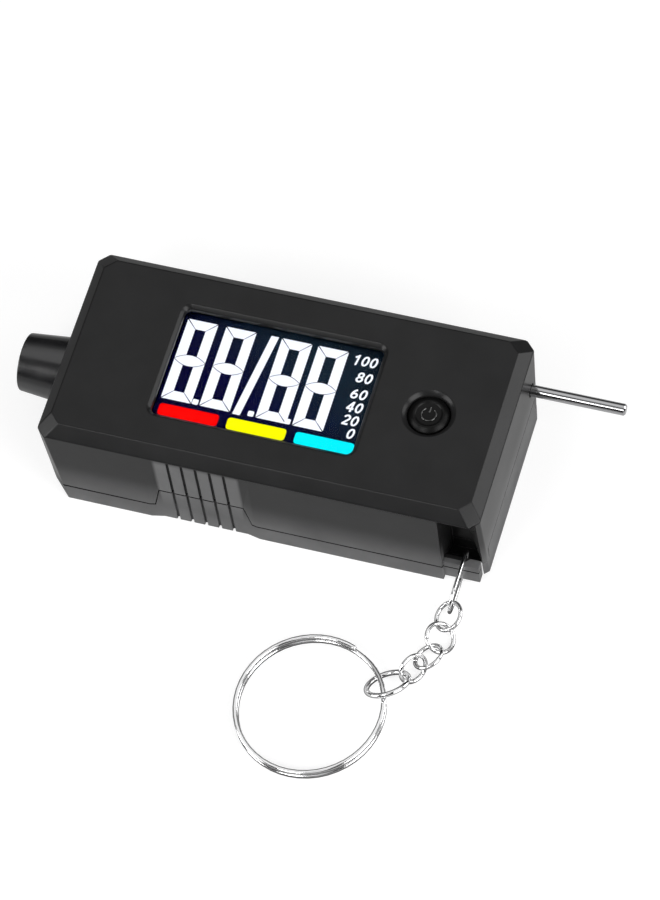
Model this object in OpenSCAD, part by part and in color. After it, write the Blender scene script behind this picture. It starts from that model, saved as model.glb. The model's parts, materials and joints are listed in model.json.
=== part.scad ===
// Pocket tire gauge: a pressure chuck at one end, a sliding tread depth probe at the other,
// a lit display, one button, and a key ring on a short chain. Millimetres, +Z up, the case
// lies on its underside at z = 0 with its middle at x = 0, y = 0. The chuck points to -X,
// the probe to +X, and the front face with the ring pocket looks along -Y.

/* [Case] */
// Length of the case from end wall to end wall
case_length = 75; // [70:0.5:84]
// Width of the case from front to back
case_width = 36; // [34:0.5:42]
// Height of the case
case_height = 21.5; // [20.5:0.25:25]
// Thickness of the side and end walls
wall = 1.8; // [1.4:0.1:2.4]
// Thickness of the top face
top_wall = 1.6; // [1.2:0.1:2]
// Thickness of the floor
floor_wall = 2.2; // [2:0.1:2.6]
// Bevel along the top edges
edge_bevel = 2; // [1:0.1:2.6]
// Corner cut at the top face
corner_top = 1.8; // [1:0.1:2.4]
// Corner cut at the foot of the bevel
corner_waist = 1.5; // [0.8:0.1:2]
// Corner cut at the underside
corner_base = 3.2; // [2:0.1:3.6]
// Height of the joint between the covers on the long sides
seam_height = 4; // [3.4:0.1:5]
// Height of the joint between the covers at the probe end
seam_probe_end = 7; // [6:0.1:8]
// Open width of the joint line
seam_gap = 0.12; // [0.05:0.01:0.2]

/* [Grip] */
// Middle of the ribbed grip along the case
grip_x = -10.3; // [-14:0.1:-6]
// Width of the ribbed field
grip_field_w = 14.4; // [12:0.2:18]
// Width of the grip with its sloping flanks
grip_w = 18.4; // [16:0.2:22]
// How far the ribs stand back from the side face
grip_inset = 0.4; // [0.2:0.05:0.6]
// Number of ribs on each side
grip_ribs = 6; // [4:1:7]
// Width of the groove between two ribs
groove_w = 0.5; // [0.3:0.05:0.8]
// Depth of the groove between two ribs
groove_d = 0.5; // [0.3:0.05:0.6]
// Height of the cover joint across the grip
grip_seam = 8.7; // [7:0.1:10]

/* [Display] */
// Length of the window at the top face
window_l = 35.6; // [30:0.2:36]
// Width of the window at the top face
window_w = 21.8; // [18:0.2:22]
// Middle of the window along the case
window_x = -2.9; // [-4:0.1:-2]
// Slope of the window rim
window_bevel = 0.7; // [0.3:0.1:1]
// Radius of the window corners at the top face
window_corner = 1.9; // [1.6:0.1:3]
// Thickness of the clear lens
lens_t = 1.2; // [0.8:0.1:1.4]
// Width of the lens border behind the top face
lens_border = 1; // [0.6:0.1:1.4]
// Thickness of the display glass
lcd_t = 1.8; // [1.4:0.1:2]
// Thickness of the backlight
backlight_t = 2; // [1.6:0.1:2.2]

/* [Circuit board] */
// Thickness of the circuit board
board_t = 1.2; // [0.8:0.1:1.4]
// Radius of the small case and board screws
screw_r = 1; // [0.8:0.05:1.1]
// Radius of a screw head
screw_head_r = 1.9; // [1.6:0.05:2]
// Height of a screw head
screw_head_h = 1.2; // [1:0.1:1.4]

/* [Button] */
// Distance of the button from the probe end of the case
button_inset = 13.1; // [12.5:0.1:14.5]
// Radius of the button cap
button_r = 3.4; // [3:0.1:3.6]
// Gap round the button cap
button_gap = 0.2; // [0.1:0.05:0.3]
// Radius of the dish round the button
button_dish_r = 4.4; // [4.1:0.1:4.6]
// How far the button travels
button_travel = 0.5; // [0.3:0.05:0.6]

/* [Chuck] */
// Height of the chuck axis above the underside
chuck_z = 10; // [9.5:0.1:11]
// Length of the chuck outside the case
chuck_length = 8.7; // [8:0.1:11]
// Radius of the chuck at the case
chuck_base_r = 5.75; // [5.5:0.05:6.2]
// Radius of the chuck at its mouth
chuck_tip_r = 4.9; // [4.7:0.05:5.4]
// Radius of the socket that takes the tire valve
socket_r = 4.1; // [3.9:0.05:4.2]
// Depth of the socket down to the seal
socket_depth = 7; // [6:0.1:7.2]
// Thickness of the rubber seal
seal_t = 2; // [1.6:0.1:2.2]

/* [Probe] */
// Distance of the probe axis from the back face
probe_inset = 4.7; // [4.5:0.05:5]
// Distance of the probe axis below the circuit board
probe_drop = 1.9; // [1.9:0.05:2.3]
// Radius of the probe rod
probe_r = 1; // [0.8:0.05:1.1]
// Reach of the probe outside the case when pulled out
probe_reach = 16; // [10:0.5:18]
// Travel of the probe
probe_travel = 15.5; // [8:0.5:16]
// Radial clearance between the rod and its guide
probe_fit = 0.05; // [0.03:0.01:0.08]

/* [Battery] */
// Radius of the coin cell
cell_r = 10; // [9.8:0.1:10]
// Thickness of the coin cell
cell_t = 3.2; // [2.5:0.1:3.2]
// Middle of the coin cell along the case
cell_x = -4; // [-6:0.1:-3]
// Middle of the coin cell across the case
cell_y = -1; // [-2:0.1:-0.8]
// Thickness of the battery door
door_t = 1.2; // [1:0.1:1.3]

/* [Key ring] */
// Width of the ring pocket along the case
pocket_w = 6.1; // [5.6:0.1:6.6]
// Depth of the ring pocket from the front face
pocket_depth = 6; // [5.8:0.1:6.6]
// Thickness of the end wall beside the pocket
pocket_end_wall = 0.8; // [0.6:0.1:1.2]
// Height of the bar that holds the ring
bar_h = 4.5; // [3.6:0.1:4.6]
// Thickness of the bar that holds the ring
bar_t = 1.6; // [1.2:0.1:1.7]
// Height of the bar above the underside
bar_z = 1; // [1:0.1:1.4]
// How far the bar stands back from the front face
bar_setback = 0.3; // [0.2:0.1:0.6]
// Thickness of the pocket's floor behind the bar
pocket_floor_t = 1.2; // [1:0.1:2]
// Radius of the wire of the long ring
ring_wire_r = 0.3; // [0.25:0.05:0.35]
// Radius of the bend of the long ring
ring_bend_r = 2.85; // [2.8:0.05:2.9]
// Straight length of the long ring
ring_straight = 5.2; // [4:0.1:8]
// Sideways lean of the long ring
ring_lean = 6; // [0:1:8]
// Radius of a chain link at the middle of its wire
link_r = 2.425; // [2.4:0.025:2.8]
// Radius of the wire of a chain link
link_wire_r = 0.35; // [0.3:0.025:0.425]
// Radius of the end link at the middle of its wire
end_link_r = 3.55; // [3.5:0.05:4]
// Radius of the wire of the end link
end_link_wire_r = 0.45; // [0.4:0.05:0.55]
// Outer radius of the split ring
split_r = 12.5; // [11:0.5:16]
// Radial width of the flat wire of the split ring
split_wire_w = 0.8; // [0.6:0.1:0.8]
// Thickness of the flat wire of the split ring
split_wire_t = 0.8; // [0.6:0.05:0.8]
// Gap between the turns of the split ring
split_gap = 0.45; // [0.42:0.01:0.5]

/* [Hidden] */
$fn = 48;

case_colour = [0.09, 0.09, 0.095];
steel_colour = [0.8, 0.81, 0.82];
board_colour = [0.1, 0.32, 0.16];

// A hair that keeps cutters clear of the faces they cut
eps = 0.01;
// Working clearance between pieces that only sit beside each other
sit_gap = 0.1;
half_l = case_length / 2;
half_w = case_width / 2;
inner_l = half_l - wall;
inner_w = half_w - wall;
inner_top = case_height - top_wall;
waist_z = case_height - edge_bevel;
// How far the top facet of a corner reaches below the foot of the bevel
corner_lap = 0.3;
inner_corner = 2;
end_tab_half = half_w - corner_base - 0.6;

// Display stack, from the top face down
lens_l = window_l - 2 * window_bevel + 2 * lens_border;
lens_w = window_w - 2 * window_bevel + 2 * lens_border;
lens_z = inner_top - lens_t;
lcd_z = lens_z - lcd_t;
backlight_z = lcd_z - backlight_t;
board_z = backlight_z - board_t;
zebra_w = 1.6;
backlight_w = lens_w - 2 * zebra_w - 2 * sit_gap;

// Case screws, and the play of a thread in its hole
thread_fit = 0.05;
boss_r = 2.4;
boss_base = seam_height + 0.6;
case_screw_spots = [[-half_l + 6, -half_w + 5], [-half_l + 6, half_w - 5], [half_l - 4.5, 0]];
case_screw_l = 9;
case_head_z = 0.5;

// Button and its switch
button_x = half_l - button_inset;
switch_w = 6;
switch_h = 3.5;
switch_z = board_z + board_t;
plunger_r = 1.7;
plunger_rise = 0.6;
plunger_top = switch_z + switch_h + plunger_rise;
plunger_bore = 1.6;
button_flange_r = button_dish_r + 0.2;
button_flange_t = 0.7;
button_top = case_height - 0.25;

// Chuck
chuck_mouth_x = -half_l - chuck_length;
chuck_flange_r = chuck_base_r + 1.2;
chuck_flange_t = 2;
chuck_back_x = -inner_l + chuck_flange_t;
seal_x = chuck_mouth_x + socket_depth;
seal_r = socket_r + 0.3;
seal_hole_r = 2;
pin_disc_t = 0.8;
pin_disc_x = seal_x + seal_t;
pin_r = 0.8;
pin_recess = 0.3;
air_r = 1.5;
sensor_r = 4.5;
sensor_l = 4;
o_ring_wire_r = 0.5;
sensor_x = chuck_back_x + 2 * o_ring_wire_r;
sensor_port_r = 1.6;
sensor_board_t = 1;
sensor_board_half = 6.5;

// Probe
probe_y = half_w - probe_inset;
probe_z = board_z - probe_drop;
probe_tip_x = half_l + probe_reach;
carriage_l = 7;
carriage_w = 4.6;
carriage_h = 3.6;
carriage_x = half_l - 12.5 - probe_travel;
guide_l = 4;
guide_w = 4.4;
guide_x = inner_l - 1.5 - guide_l;
guide_seat_l = 1;
probe_seal_wire_r = 0.38;
guide_seat_r = probe_r + probe_fit + 2 * probe_seal_wire_r + 0.04;
track_t = 0.2;
rail_t = 0.8;
rail_top = probe_z - carriage_h / 2 - 0.2;

// Circuit board between the sensor board and the probe guide, and its screw posts
board_end_gap = 0.3;
board_front_gap = 2.2;
board_back_gap = 1.2;
board_x0 = sensor_x + sensor_l + sensor_board_t + board_end_gap;
board_x1 = guide_x - board_end_gap;
board_y0 = -inner_w + board_front_gap;
board_y1 = inner_w - board_back_gap;
post_r = 2.2;
post_gap = 0.2;
post_inset = 3.9;
post_reach = lens_l / 2 + sit_gap + post_gap + post_r;
post_x = [window_x - post_reach, window_x + post_reach];
post_y = inner_w - post_inset;
post_spots = [[post_x[0], -post_y], [post_x[1], -post_y], [post_x[0], post_y]];
board_screw_l = 5;

// Battery bay
bay_gap = 0.25;
bay_wall = 1;
bay_h = 4.2;
cell_z = floor_wall;
contact_t = 0.3;
contact_w = 4;
contact_back = 6;
contact_reach = 3;
pad_r = 6;
door_x0 = cell_x - cell_r - 3;
door_x1 = cell_x + cell_r + 8;
door_margin = 2;
door_w = 2 * (cell_r + door_margin);
door_gap = 0.2;
door_tab_w = 3;
door_tab_l = 1.4;
door_tab_root = 1.5;
door_tab_t = 0.8;
door_screw_x = door_x1 - 3.2;
door_screw_r = 0.8;
door_screw_head_r = 1.5;
door_screw_head_h = 0.8;
door_screw_l = 4.5;

// Ring pocket and bar
pocket_x1 = half_l - pocket_end_wall;
pocket_x0 = pocket_x1 - pocket_w;
pocket_top = waist_z - 0.4;
pocket_wall = 1.2;
bar_y0 = -half_w + bar_setback;
bar_mid_y = bar_y0 + bar_t / 2;
bar_mid_z = bar_z + bar_h / 2;
ring_x = pocket_x0 + pocket_w / 2;
ring_play = 0.15;

// Chain: the way the chain heads at each step, in degrees from -Y towards -X
link_drop = 12;
link_lift = 0.05;
link_hook = [0.75, 1.34, 1.44, 1.08];
end_hook = 1.34;
split_hook = 0.9;
step_heading = [6, 14, 27, 42];
split_heading = 60;
link_roll = [30, -33, 32, -68];
end_roll = 37;
function heading_xy(a) = [-sin(a), -cos(a), 0];
function rest_z(r, wire, roll) = r * sin(abs(roll)) + wire + link_lift;
link_heading = [step_heading[0] / 2, (step_heading[0] + step_heading[1]) / 2,
    (step_heading[1] + step_heading[2]) / 2, (step_heading[2] + step_heading[3]) / 2];
end_heading = (step_heading[3] + split_heading) / 2;
ring_front = [ring_x, bar_mid_y - ring_straight, bar_mid_z];
link_1_at = ring_front + (ring_bend_r + link_hook[0]) * [0, -cos(link_drop), -sin(link_drop)];
function flat(p) = [p[0], p[1], 0];
link_2_at = flat(link_1_at) + (link_r + link_hook[1]) * heading_xy(step_heading[0])
    + [0, 0, rest_z(link_r, link_wire_r, link_roll[1])];
link_3_at = flat(link_2_at) + (link_r + link_hook[2]) * heading_xy(step_heading[1])
    + [0, 0, rest_z(link_r, link_wire_r, link_roll[2])];
link_4_at = flat(link_3_at) + (link_r + link_hook[3]) * heading_xy(step_heading[2])
    + [0, 0, rest_z(link_r, link_wire_r, link_roll[3])];
end_link_at = flat(link_4_at) + (end_link_r + end_hook) * heading_xy(step_heading[3])
    + [0, 0, rest_z(end_link_r, end_link_wire_r, end_roll)];
link_at = [link_1_at, link_2_at, link_3_at, link_4_at];
link_slope = [link_drop, 0, 0, 0];

// Split ring: two turns of flat wire, leaning on the end link
split_mid_r = split_r - split_wire_w / 2;
split_pitch = split_wire_t + split_gap;
split_h = split_pitch + split_wire_t;
split_near_z = end_link_at[2];
split_far_z = split_h / 2 + 0.15;
split_tilt = asin((split_near_z - split_far_z) / (2 * split_mid_r));
split_at = flat(end_link_at) + (split_hook + split_mid_r * cos(split_tilt)) * heading_xy(split_heading)
    + [0, 0, (split_near_z + split_far_z) / 2];

// Extrudes an outline drawn in X and Z through the case from front to back
module across(depth) {
    translate([0, depth / 2, 0]) rotate([90, 0, 0]) linear_extrude(depth) children();
}

// A block given by its low and high corners
module block(low, high) {
    translate(low) cube(high - low);
}

// A cylinder that points along +X
module rod_x(r, length) {
    rotate([0, 90, 0]) cylinder(r = r, h = length);
}

module bevelled_side(half) {
    polygon([[-half, 0], [half, 0], [half, waist_z], [half - edge_bevel, case_height],
        [-half + edge_bevel, case_height], [-half, waist_z]]);
}

// A half space whose face leans across one vertical corner, from offset low at z0 to high at z1
module corner_cutter(low, high, z0, z1) {
    lean = atan((high - low) / (z1 - z0));
    big = 30;
    translate([half_l, half_w, z0]) rotate([0, 0, 45]) translate([-low, 0, 0])
        rotate([0, -lean, 0]) translate([0, -big / 2, -big]) cube([big, big, 2 * big]);
}

// The outside of the closed case, with bevelled top edges and faceted corners
module case_block() {
    difference() {
        intersection() {
            across(case_width) bevelled_side(half_l);
            rotate([0, 0, 90]) across(case_length) bevelled_side(half_w);
        }
        for (flip_x = [0, 1], flip_y = [0, 1])
            mirror([flip_x, 0, 0]) mirror([0, flip_y, 0]) {
                corner_cutter(corner_base / sqrt(2), corner_waist / sqrt(2), 0, waist_z);
                corner_cutter((corner_waist + corner_lap) / sqrt(2),
                    (2 * edge_bevel + corner_top) / sqrt(2), waist_z, case_height);
            }
    }
}

module pocket_space(grow) {
    block([pocket_x0 - grow, -half_w - 1, -1],
        [grow > 0 ? half_l : pocket_x1, -half_w + pocket_depth + grow, pocket_top + grow]);
}

module cavity() {
    difference() {
        translate([0, 0, floor_wall]) linear_extrude(inner_top - floor_wall)
            polygon([[-inner_l + inner_corner, -inner_w], [inner_l - inner_corner, -inner_w],
                [inner_l, -inner_w + inner_corner], [inner_l, inner_w - inner_corner],
                [inner_l - inner_corner, inner_w], [-inner_l + inner_corner, inner_w],
                [-inner_l, inner_w - inner_corner], [-inner_l, -inner_w + inner_corner]]);
        pocket_space(pocket_wall);
    }
}

// Outline of the tab that the lower cover raises behind the grip
module grip_tab(top) {
    polygon([[grip_x - grip_w / 2, 0], [grip_x + grip_w / 2, 0],
        [grip_x + grip_field_w / 2, top], [grip_x - grip_field_w / 2, top]]);
}

// Ribbed finger grips in both side faces: a shallow field with sloping flanks and narrow grooves
module grip_cut() {
    head = waist_z - 0.3;
    groove_head = head - 0.3;
    proud = 0.2;
    spread = (grip_w - grip_field_w) / 2 * proud / grip_inset;
    for (side = [0, 1]) mirror([0, side, 0]) translate([grip_x, -half_w, -1]) {
        linear_extrude(1 + head)
            polygon([[-grip_w / 2 - spread, -proud], [grip_w / 2 + spread, -proud],
                [grip_field_w / 2, grip_inset], [-grip_field_w / 2, grip_inset]]);
        for (i = [1 : grip_ribs - 1])
            translate([(i / grip_ribs - 0.5) * grip_field_w - groove_w / 2, 0, 0])
                cube([groove_w, grip_inset + groove_d, 1 + groove_head]);
    }
}

// Everything below the joint line of the two covers, raised by gap
module lower_region(gap) {
    far = half_l + 1;
    block([-far, -half_w - 1, -1], [far, half_w + 1, seam_height + gap]);
    block([inner_l - gap, -end_tab_half - gap, -1], [far, end_tab_half + gap, seam_probe_end + gap]);
    block([-far, -end_tab_half - gap, -1], [-inner_l + gap, end_tab_half + gap, chuck_z + gap]);
    for (side = [-1, 1])
        translate([0, side * (half_w - wall / 2 + 0.5), 0])
            across(wall + 1 + 2 * gap) offset(delta = gap) grip_tab(grip_seam);
}

// Both covers in one, hollow, before they are parted
module case_shell() {
    difference() {
        case_block();
        cavity();
        grip_cut();
        pocket_space(0);
        translate([-half_l - 1, 0, chuck_z]) rod_x(chuck_base_r + sit_gap, wall + 1.5);
    }
}

// The bar that the long ring hangs on, and the floor that closes the pocket behind the ring
module bar() {
    block([pocket_x0 - eps, bar_y0, bar_z], [pocket_x1 + eps, bar_y0 + bar_t, bar_z + bar_h]);
    block([pocket_x0 - eps, bar_mid_y + ring_bend_r + ring_wire_r + ring_play, 0],
        [pocket_x1 + eps, -half_w + pocket_depth + eps, pocket_floor_t]);
}

// Window opening with round corners, and the sloping rim that widens it towards the top face
module window_cut() {
    rise = window_bevel + 1;
    foot_z = case_height - window_bevel;
    centre_x = window_l / 2 - window_corner;
    centre_y = window_w / 2 - window_corner;
    foot_r = window_corner - window_bevel;
    translate([window_x, 0, 0]) {
        for (x = [-centre_x, centre_x], y = [-centre_y, centre_y]) translate([x, y, 0]) {
            translate([0, 0, inner_top - 1]) cylinder(r = foot_r, h = top_wall + 2);
            translate([0, 0, foot_z]) cylinder(r1 = foot_r, r2 = foot_r + rise, h = rise);
        }
        block([-centre_x - foot_r, -centre_y, inner_top - 1],
            [centre_x + foot_r, centre_y, case_height + 1]);
        block([-centre_x, -centre_y - foot_r, inner_top - 1],
            [centre_x, centre_y + foot_r, case_height + 1]);
        across(2 * centre_y) rim_slope(centre_x + foot_r, foot_z, rise);
        rotate([0, 0, 90]) across(2 * centre_x) rim_slope(centre_y + foot_r, foot_z, rise);
    }
}

module rim_slope(foot, foot_z, rise) {
    polygon([[-foot, foot_z], [foot, foot_z], [foot + rise, foot_z + rise], [-foot - rise, foot_z + rise]]);
}

module top_cover() {
    lens_rim = 1;
    color(case_colour) difference() {
        union() {
            difference() {
                case_shell();
                lower_region(seam_gap);
            }
            for (spot = case_screw_spots)
                translate([spot[0], spot[1], boss_base])
                    cylinder(r = boss_r, h = inner_top - boss_base + eps);
            for (spot = post_spots)
                translate([spot[0], spot[1], switch_z])
                    cylinder(r = post_r, h = inner_top - switch_z + eps);
            translate([window_x, 0, 0]) difference() {
                block([-lens_l / 2 - lens_rim - sit_gap, -lens_w / 2 - lens_rim - sit_gap, lens_z],
                    [lens_l / 2 + lens_rim + sit_gap, lens_w / 2 + lens_rim + sit_gap, inner_top + eps]);
                block([-lens_l / 2 - sit_gap, -lens_w / 2 - sit_gap, lens_z - 1],
                    [lens_l / 2 + sit_gap, lens_w / 2 + sit_gap, inner_top + 1]);
            }
            block([guide_x, probe_y - guide_w / 2 + 0.6, probe_z + guide_w / 2],
                [inner_l + eps, probe_y + guide_w / 2 - 0.6, inner_top + eps]);
        }
        window_cut();
        translate([button_x, 0, inner_top - 1]) cylinder(r = button_r + button_gap, h = top_wall + 2);
        translate([button_x, 0, case_height - (button_dish_r - button_r - button_gap)])
            cylinder(r1 = button_r + button_gap, r2 = button_dish_r + eps,
                h = button_dish_r - button_r - button_gap + eps);
        translate([inner_l - 1, probe_y, probe_z]) rod_x(probe_r + 0.2, wall + 2);
        for (spot = case_screw_spots)
            translate([spot[0], spot[1], boss_base - 1])
                cylinder(r = screw_r + thread_fit, h = case_screw_l);
        for (spot = post_spots)
            translate([spot[0], spot[1], switch_z - 1])
                cylinder(r = screw_r + thread_fit, h = board_screw_l);
    }
}

module bottom_cover() {
    bay_x = [door_x0 - door_gap, door_x1 + door_gap];
    color(case_colour) difference() {
        union() {
            intersection() {
                case_shell();
                lower_region(0);
            }
            bar();
            translate([cell_x, cell_y, door_t])
                cylinder(r = cell_r + bay_gap + bay_wall, h = floor_wall + bay_h - door_t);
            for (spot = case_screw_spots)
                translate([spot[0], spot[1], floor_wall - eps])
                    cylinder(r = boss_r, h = boss_base - floor_wall);
            translate([door_screw_x, cell_y, floor_wall - eps])
                cylinder(r = boss_r, h = door_screw_l);
            for (y = [probe_y - carriage_w / 2, probe_y + carriage_w / 2 - rail_t])
                block([carriage_x - probe_travel - 1, y, floor_wall - eps],
                    [carriage_x + carriage_l + 1, y + rail_t, rail_top]);
            for (y = [-sensor_board_half - 0.8, sensor_board_half - 1])
                block([sensor_x + sensor_l - 1, y, floor_wall - eps],
                    [sensor_x + sensor_l + sensor_board_t + 1, y + 1.8, floor_wall + 5]);
        }
        translate([cell_x, cell_y, -1]) cylinder(r = cell_r + bay_gap, h = floor_wall + bay_h + 2);
        block([bay_x[0], cell_y - door_w / 2 - door_gap, -1],
            [bay_x[1], cell_y + door_w / 2 + door_gap, door_t]);
        for (y = [-6, 6])
            block([bay_x[0] - door_tab_l - 0.4, cell_y + y - door_tab_w / 2 - door_gap, door_t],
                [door_x0 + door_tab_root + door_gap, cell_y + y + door_tab_w / 2 + door_gap,
                    floor_wall + 1]);
        block([cell_x + cell_r - 0.5, cell_y - contact_w / 2 - sit_gap, floor_wall],
            [cell_x + cell_r + bay_gap + bay_wall + 1, cell_y + contact_w / 2 + sit_gap,
                floor_wall + bay_h + 1]);
        translate([door_screw_x, cell_y, 0])
            cylinder(r = door_screw_r + thread_fit, h = door_screw_l + 1.4);
        for (spot = case_screw_spots) translate([spot[0], spot[1], -1]) {
            cylinder(r = screw_r + 0.2, h = boss_base + 2);
            cylinder(r = screw_head_r + 0.2, h = 1 + case_head_z + screw_head_h);
        }
        block([sensor_x + sensor_l - sit_gap / 2, -sensor_board_half - sit_gap, floor_wall],
            [sensor_x + sensor_l + sensor_board_t + sit_gap / 2, sensor_board_half + sit_gap, case_height]);
    }
}

module display_lens() {
    color([0.1, 0.11, 0.13, 0.5])
        block([window_x - lens_l / 2, -lens_w / 2, lens_z],
            [window_x + lens_l / 2, lens_w / 2, inner_top]);
}

module lcd_panel() {
    color([0.05, 0.06, 0.12])
        block([window_x - lens_l / 2 + 0.4, -lens_w / 2, lcd_z],
            [window_x + lens_l / 2 - 0.4, lens_w / 2, lens_z]);
}

module backlight() {
    color([0.92, 0.93, 0.95])
        block([window_x - lens_l / 2 + 0.8, -backlight_w / 2, backlight_z],
            [window_x + lens_l / 2 - 0.8, backlight_w / 2, lcd_z]);
}

module zebra_strips() {
    color([0.75, 0.6, 0.62]) for (y = [-lens_w / 2, lens_w / 2 - zebra_w])
        block([window_x - lens_l / 2 + 1.5, y, backlight_z],
            [window_x + lens_l / 2 - 1.5, y + zebra_w, lcd_z]);
}

module circuit_board() {
    color(board_colour) difference() {
        block([board_x0, board_y0, board_z], [board_x1, board_y1, switch_z]);
        for (spot = post_spots)
            translate([spot[0], spot[1], board_z - 1]) cylinder(r = screw_r + 0.2, h = board_t + 2);
        block([pocket_x0 - pocket_wall - 1, board_y0 - 1, board_z - 1],
            [board_x1 + 1, -half_w + pocket_depth + pocket_wall + 1, switch_z + 1]);
    }
}

module tact_switch() {
    color([0.12, 0.12, 0.12]) difference() {
        translate([button_x - switch_w / 2, -switch_w / 2, switch_z])
            cube([switch_w, switch_w, switch_h]);
        translate([button_x, 0, switch_z + switch_h - plunger_bore])
            cylinder(r = plunger_r + sit_gap, h = plunger_bore + 1);
    }
}

module switch_plunger() {
    foot = switch_z + switch_h - plunger_bore + button_travel + 0.2;
    color([0.85, 0.82, 0.75]) translate([button_x, 0, foot])
        cylinder(r = plunger_r, h = plunger_top - foot);
}

module button_cap() {
    dome_drop = 0.35;
    cap_base = inner_top - 0.15 - button_flange_t;
    color([0.1, 0.1, 0.1]) translate([button_x, 0, 0]) rotate_extrude()
        polygon([[0, plunger_top], [plunger_r, plunger_top], [plunger_r, cap_base],
            [button_flange_r, cap_base], [button_flange_r, cap_base + button_flange_t],
            [button_r, cap_base + button_flange_t], [button_r, button_top - dome_drop],
            [button_r - dome_drop, button_top], [button_r - 1.1, button_top],
            [button_r - 1.3, button_top - 0.25], [0, button_top - 0.25]]);
}

module nozzle() {
    color([0.05, 0.05, 0.05]) translate([0, 0, chuck_z]) rotate([0, 90, 0]) rotate_extrude()
        polygon([[socket_r, chuck_mouth_x], [chuck_tip_r, chuck_mouth_x],
            [chuck_base_r, -half_l], [chuck_base_r, -inner_l], [chuck_flange_r, -inner_l],
            [chuck_flange_r, chuck_back_x], [air_r, chuck_back_x],
            [air_r, pin_disc_x + pin_disc_t], [seal_r, pin_disc_x + pin_disc_t],
            [seal_r, seal_x], [socket_r, seal_x]]);
}

module valve_seal() {
    color([0.12, 0.12, 0.13]) translate([seal_x, 0, chuck_z]) difference() {
        rod_x(seal_r - 0.05, seal_t);
        translate([-1, 0, 0]) rod_x(seal_hole_r, seal_t + 2);
    }
}

module valve_pin() {
    vents = 3;
    color([0.78, 0.66, 0.36]) translate([0, 0, chuck_z]) {
        translate([seal_x + pin_recess, 0, 0]) rod_x(pin_r, seal_t - pin_recess + eps);
        translate([pin_disc_x, 0, 0]) difference() {
            rod_x(seal_r - 0.1, pin_disc_t);
            for (i = [1 : vents])
                rotate([i * 360 / vents, 0, 0]) translate([-1, 0, 1.4]) rod_x(0.4, pin_disc_t + 2);
        }
    }
}

module sensor_o_ring() {
    color([0.1, 0.1, 0.1]) translate([chuck_back_x + o_ring_wire_r, 0, chuck_z]) rotate([0, 90, 0])
        rotate_extrude() translate([sensor_port_r + o_ring_wire_r + 0.2, 0]) circle(r = o_ring_wire_r);
}

module pressure_sensor() {
    color(steel_colour) translate([0, 0, chuck_z]) difference() {
        translate([sensor_x, 0, 0]) rod_x(sensor_r, sensor_l);
        translate([sensor_x - 1, 0, 0]) rod_x(sensor_port_r / 2, sensor_l - 1);
    }
}

module sensor_board() {
    color(board_colour) block([sensor_x + sensor_l, -sensor_board_half, floor_wall],
        [sensor_x + sensor_l + sensor_board_t, sensor_board_half, chuck_z + sensor_r + 1]);
}

module probe_rod() {
    tip_round = 0.25;
    tail_x = carriage_x + 1;
    color(steel_colour) translate([0, probe_y, probe_z]) rotate([0, 90, 0]) rotate_extrude()
        polygon([[0, tail_x], [probe_r, tail_x], [probe_r, probe_tip_x - tip_round],
            [probe_r - tip_round, probe_tip_x], [0, probe_tip_x]]);
}

module probe_carriage() {
    color([0.85, 0.85, 0.82]) difference() {
        block([carriage_x, probe_y - carriage_w / 2 + 0.1, probe_z - carriage_h / 2],
            [carriage_x + carriage_l, probe_y + carriage_w / 2 - 0.1, probe_z + probe_r + 0.4]);
        translate([carriage_x + 1, probe_y, probe_z]) rod_x(probe_r, carriage_l);
    }
}

module probe_wiper() {
    wiper_w = 2.4;
    top = board_z - track_t - sit_gap;
    color([0.78, 0.66, 0.36])
        block([carriage_x + 1.5, probe_y - wiper_w / 2, probe_z + probe_r + 0.4],
            [carriage_x + carriage_l - 1.5, probe_y + wiper_w / 2, top]);
}

module probe_guide() {
    color([0.82, 0.82, 0.8]) difference() {
        block([guide_x, probe_y - guide_w / 2, probe_z - guide_w / 2],
            [guide_x + guide_l, probe_y + guide_w / 2, probe_z + guide_w / 2]);
        translate([guide_x - 1, probe_y, probe_z]) rod_x(probe_r + probe_fit, guide_l + 2);
        translate([guide_x - 1, probe_y, probe_z]) rod_x(guide_seat_r, 1 + guide_seat_l);
    }
}

module probe_o_ring() {
    color([0.1, 0.1, 0.1]) translate([guide_x + guide_seat_l - probe_seal_wire_r, probe_y, probe_z])
        rotate([0, 90, 0]) rotate_extrude()
            translate([probe_r + probe_fit + probe_seal_wire_r, 0]) circle(r = probe_seal_wire_r);
}

module depth_track() {
    track_w = 3;
    color([0.15, 0.15, 0.16])
        block([carriage_x - probe_travel - 0.5, probe_y - track_w / 2, board_z - track_t],
            [carriage_x + carriage_l + 0.5, min(probe_y + track_w / 2, board_y1), board_z]);
}

module battery() {
    rim = 0.9;
    color(steel_colour) translate([cell_x, cell_y, cell_z]) rotate_extrude()
        polygon([[0, 0], [cell_r, 0], [cell_r, cell_t - 0.6], [cell_r - rim, cell_t - 0.4],
            [cell_r - rim, cell_t], [0, cell_t]]);
}

module battery_contact_positive() {
    side = cell_x + cell_r;
    color(steel_colour) block([side, cell_y - contact_w / 2, cell_z + 0.4],
        [side + contact_t, cell_y + contact_w / 2, board_z]);
}

module battery_contact_negative() {
    low = cell_z + cell_t;
    back = cell_x - contact_back;
    color(steel_colour) {
        block([back, cell_y - contact_w / 2, low],
            [cell_x + contact_reach, cell_y + contact_w / 2, low + contact_t]);
        block([back, cell_y - contact_w / 2, low], [back + contact_t, cell_y + contact_w / 2, board_z]);
    }
}

module battery_pad() {
    color([0.2, 0.2, 0.21]) translate([cell_x, cell_y, door_t]) cylinder(r = pad_r, h = cell_z - door_t);
}

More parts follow.
